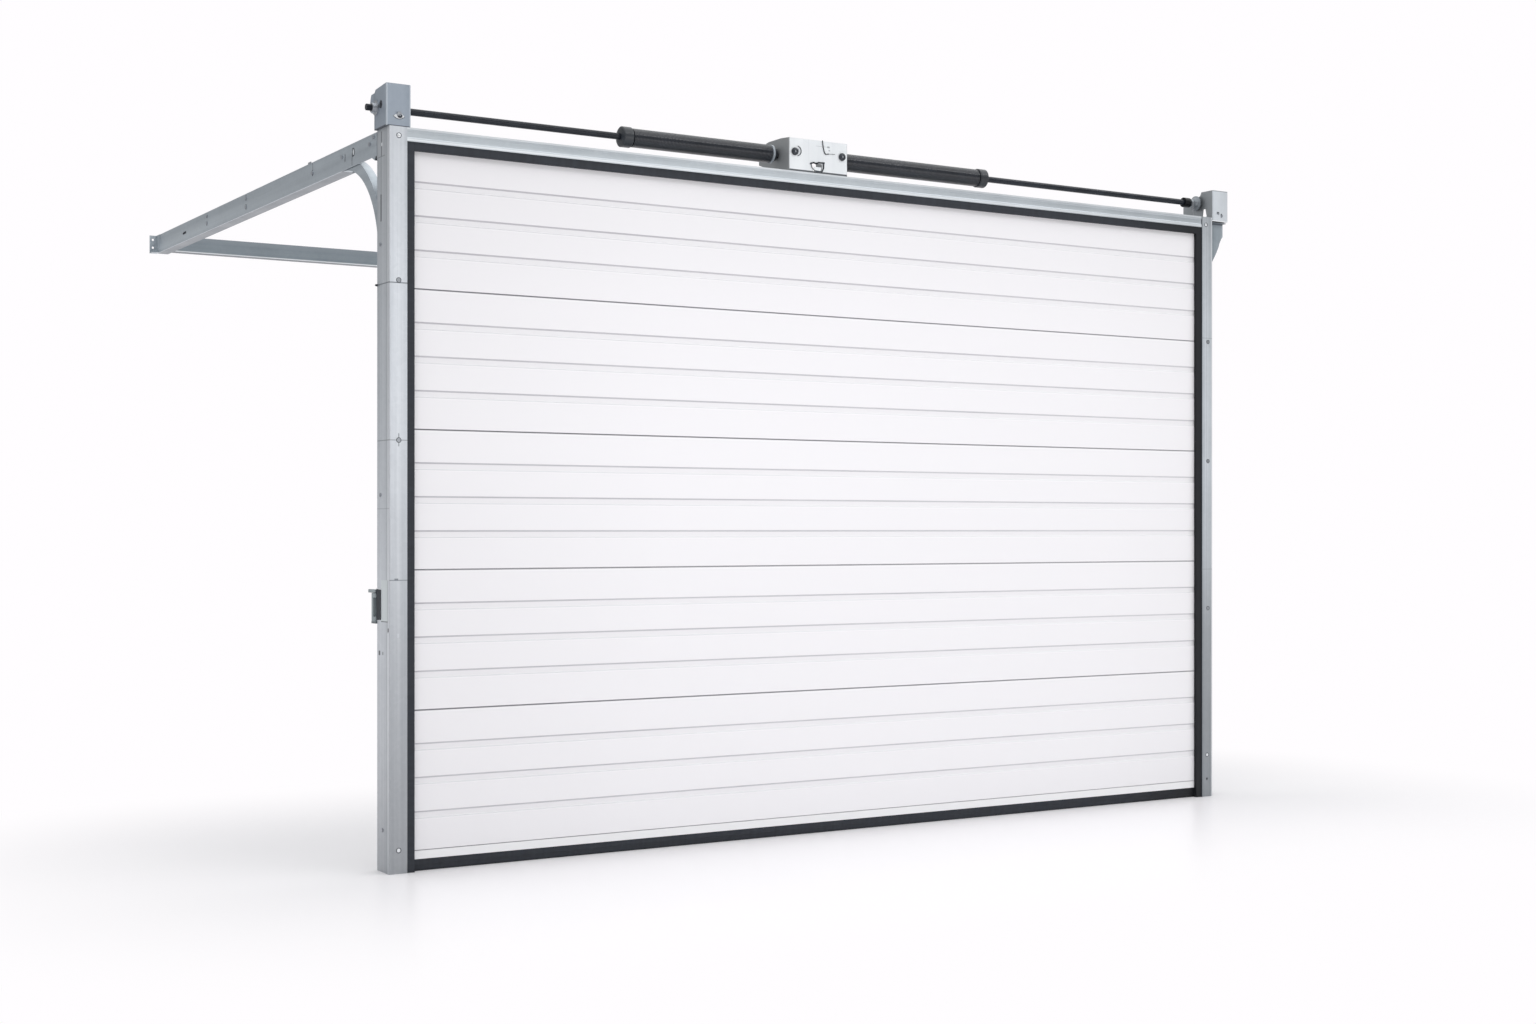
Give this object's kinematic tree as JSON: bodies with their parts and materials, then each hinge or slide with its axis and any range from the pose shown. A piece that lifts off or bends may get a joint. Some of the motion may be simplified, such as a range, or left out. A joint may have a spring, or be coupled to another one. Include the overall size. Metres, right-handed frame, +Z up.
{
  "type": "sectional overhead door set",
  "caption": "Full-width sectional overhead door with ribbed panels, posts, roller tracks, header rail, torsion shaft with springs and a side latch.",
  "frame": {"origin": "mid width of the door, floor level, mid thickness of the leaf, on the underside of the bottom seal", "axes": "+X along the door's width to the right seen from outside, +Y from outside to inside, +Z up"},
  "size_m": [4.1, 3.093, 2.79],
  "materials": {
    "galvanised_steel": "satin",
    "bracket_steel": "satin",
    "seal_rubber": "matte",
    "black_steel": "satin",
    "drum_alloy": "satin",
    "bearing_steel": "satin",
    "fastener_steel": "satin",
    "white_paint": "satin",
    "white_profile": "satin",
    "foam": "matte",
    "nylon": "satin",
    "wire_rope": "satin"
  },
  "bodies": {
    "root": {"left_post": "galvanised_steel", "right_post": "galvanised_steel", "header_rail": "galvanised_steel", "side_seals": "seal_rubber", "top_seal": "seal_rubber", "vertical_tracks": "galvanised_steel", "curved_tracks": "galvanised_steel", "left_horizontal_track": "galvanised_steel", "right_horizontal_track": "galvanised_steel", "top_roller_guides": "galvanised_steel", "rear_cross_bar": "galvanised_steel", "track_end_brackets": "galvanised_steel", "track_buffers": "seal_rubber", "left_end_bracket": "bracket_steel", "right_end_bracket": "bracket_steel", "right_bracket_gusset": "bracket_steel", "centre_bracket": "bracket_steel", "shaft_bearings": "bearing_steel", "left_torsion_spring": "black_steel", "right_torsion_spring": "black_steel", "stationary_cones": "black_steel", "track_clips": "galvanised_steel", "frame_screws": "fastener_steel", "bracket_bolts": "fastener_steel", "track_bolts": "fastener_steel", "latch_bracket": "galvanised_steel"},
    "latch_bar": {"latch_bar": "galvanised_steel"},
    "drive_shaft": {"torsion_shaft": "black_steel", "left_cable_drum": "drum_alloy", "right_cable_drum": "black_steel", "winding_cones": "black_steel"},
    "door_leaf": {"section_1_outer_skin": "white_paint", "section_2_outer_skin": "white_paint", "section_3_outer_skin": "white_paint", "section_4_outer_skin": "white_paint", "lower_section_inner_skins": "white_paint", "lower_section_cores": "foam", "lower_section_end_caps": "white_paint", "bottom_profile": "white_profile", "bottom_seal": "seal_rubber", "hinge_lower_leaves": "galvanised_steel", "hinge_upper_leaves": "galvanised_steel", "hinge_pins": "bearing_steel", "roller_carriers": "galvanised_steel", "roller_stems": "bearing_steel", "bottom_brackets": "galvanised_steel", "lift_cables": "wire_rope"},
    "top_section": {"section_5_outer_skin": "white_paint", "section_5_inner_skin": "white_paint", "section_5_core": "foam", "section_5_end_caps": "white_paint", "top_hinge_leaves": "galvanised_steel", "top_roller_brackets": "galvanised_steel"},
    "bottom_roller_pair": {"bottom_rollers": "nylon"},
    "roller_pair_1": {"rollers_1": "nylon"},
    "roller_pair_2": {"rollers_2": "nylon"},
    "roller_pair_3": {"rollers_3": "nylon"},
    "roller_pair_4": {"rollers_4": "nylon"},
    "top_roller_pair": {"top_rollers": "nylon"}
  },
  "joints": [
    {"name": "door_lift", "type": "slide", "parent": "root", "child": "door_leaf", "axis": [0, 0, 1], "range_m": [0, 0.13], "deforming": ["lift_cables"]},
    {"name": "top_section_tilt", "type": "hinge", "parent": "door_leaf", "child": "top_section", "pos_m": [0, 0.032, 2.073], "axis": [-1, 0, 0], "range_deg": [0, 25.35]},
    {"name": "shaft_turn", "type": "hinge", "parent": "root", "child": "drive_shaft", "pos_m": [0, 0.056, 2.716], "axis": [-1, 0, 0], "range_deg": [0, 367.92]},
    {"name": "latch_turn", "type": "hinge", "parent": "root", "child": "latch_bar", "pos_m": [-1.972, 0.106, 0.939], "axis": [0, 0, 1], "range_deg": [0, 90]},
    {"name": "bottom_roller_spin", "type": "hinge", "parent": "door_leaf", "child": "bottom_roller_pair", "pos_m": [0, 0.0555, 0.1], "axis": [1, 0, 0], "range_deg": [0, 382.47]},
    {"name": "roller_1_spin", "type": "hinge", "parent": "door_leaf", "child": "roller_pair_1", "pos_m": [0, 0.0555, 0.543], "axis": [1, 0, 0], "range_deg": [0, 382.47]},
    {"name": "roller_2_spin", "type": "hinge", "parent": "door_leaf", "child": "roller_pair_2", "pos_m": [0, 0.0555, 1.043], "axis": [1, 0, 0], "range_deg": [0, 382.47]},
    {"name": "roller_3_spin", "type": "hinge", "parent": "door_leaf", "child": "roller_pair_3", "pos_m": [0, 0.0555, 1.543], "axis": [1, 0, 0], "range_deg": [0, 382.47]},
    {"name": "roller_4_spin", "type": "hinge", "parent": "door_leaf", "child": "roller_pair_4", "pos_m": [0, 0.0555, 2.043], "axis": [1, 0, 0], "range_deg": [0, 382.47]},
    {"name": "top_roller_spin", "type": "hinge", "parent": "top_section", "child": "top_roller_pair", "pos_m": [0, 0.122, 2.5703], "axis": [-1, 0, 0], "range_deg": [0, 593.41]}
  ],
  "couplings": [
    {"joint": "top_section_tilt", "follows": "door_lift", "rad_per_m": 3.4003},
    {"joint": "shaft_turn", "follows": "door_lift", "rad_per_m": 49.261},
    {"joint": "bottom_roller_spin", "follows": "door_lift", "rad_per_m": 51.282},
    {"joint": "roller_1_spin", "follows": "door_lift", "rad_per_m": 51.282},
    {"joint": "roller_2_spin", "follows": "door_lift", "rad_per_m": 51.282},
    {"joint": "roller_3_spin", "follows": "door_lift", "rad_per_m": 51.282},
    {"joint": "roller_4_spin", "follows": "door_lift", "rad_per_m": 51.282},
    {"joint": "top_roller_spin", "follows": "door_lift", "rad_per_m": 79.4}
  ]
}
